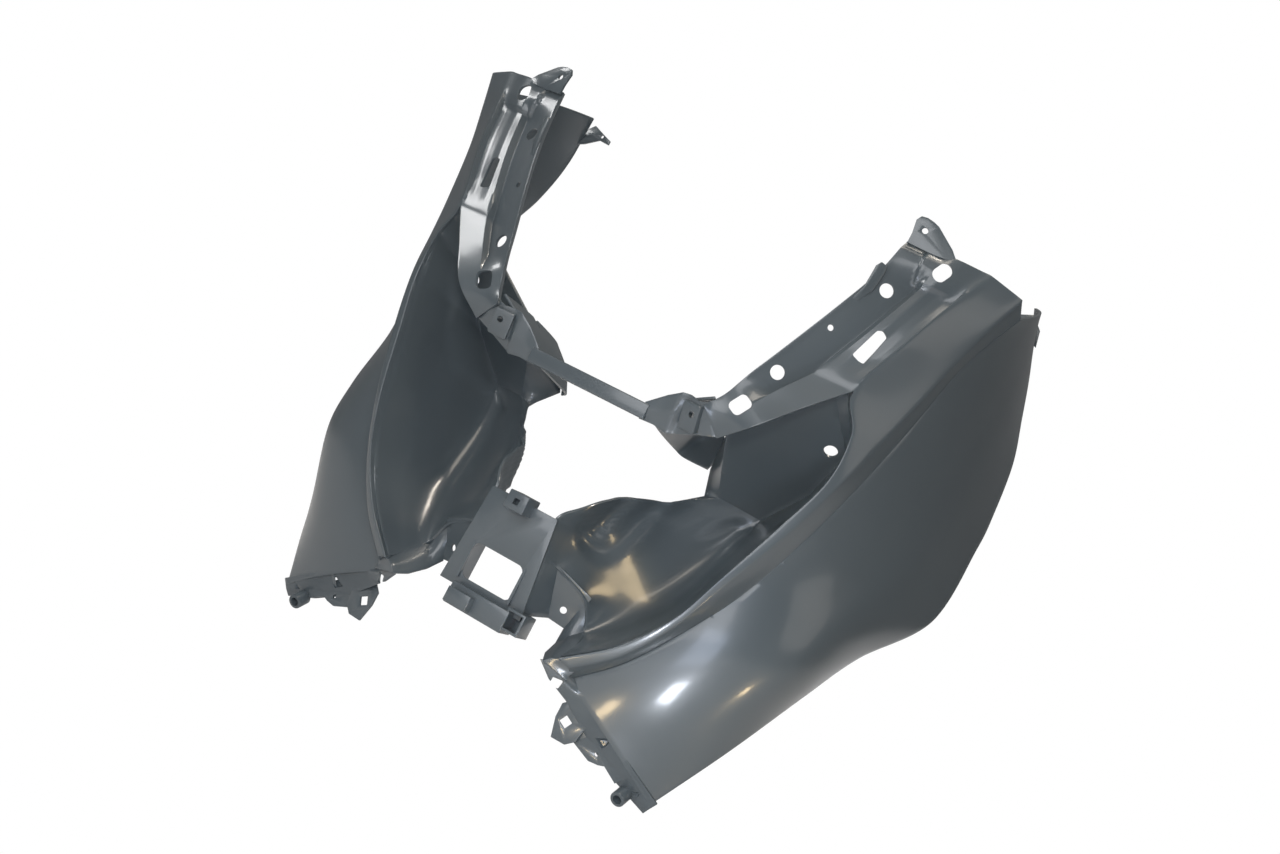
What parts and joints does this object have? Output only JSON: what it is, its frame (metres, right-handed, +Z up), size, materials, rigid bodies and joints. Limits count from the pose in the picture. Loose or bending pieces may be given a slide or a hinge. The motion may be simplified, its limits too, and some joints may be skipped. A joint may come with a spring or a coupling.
{
  "type": "scooter leg shield",
  "caption": "Moulded grey plastic leg shield of a motor scooter: swept side wings, holed upright arms, deep knee recesses, joined by a strap and a windowed bridge.",
  "frame": {"origin": "centre of the square hole in the front face of the centre clip tower", "axes": "+X to the right wing across the symmetry plane, +Y to the rear of the scooter, +Z up"},
  "size_m": [0.6958, 0.3362, 0.6305],
  "materials": {
    "moulded_plastic": "semi-gloss moulded surface, slate grey"
  },
  "bodies": {
    "root": {"leg_shield": "moulded_plastic"}
  },
  "joints": []
}
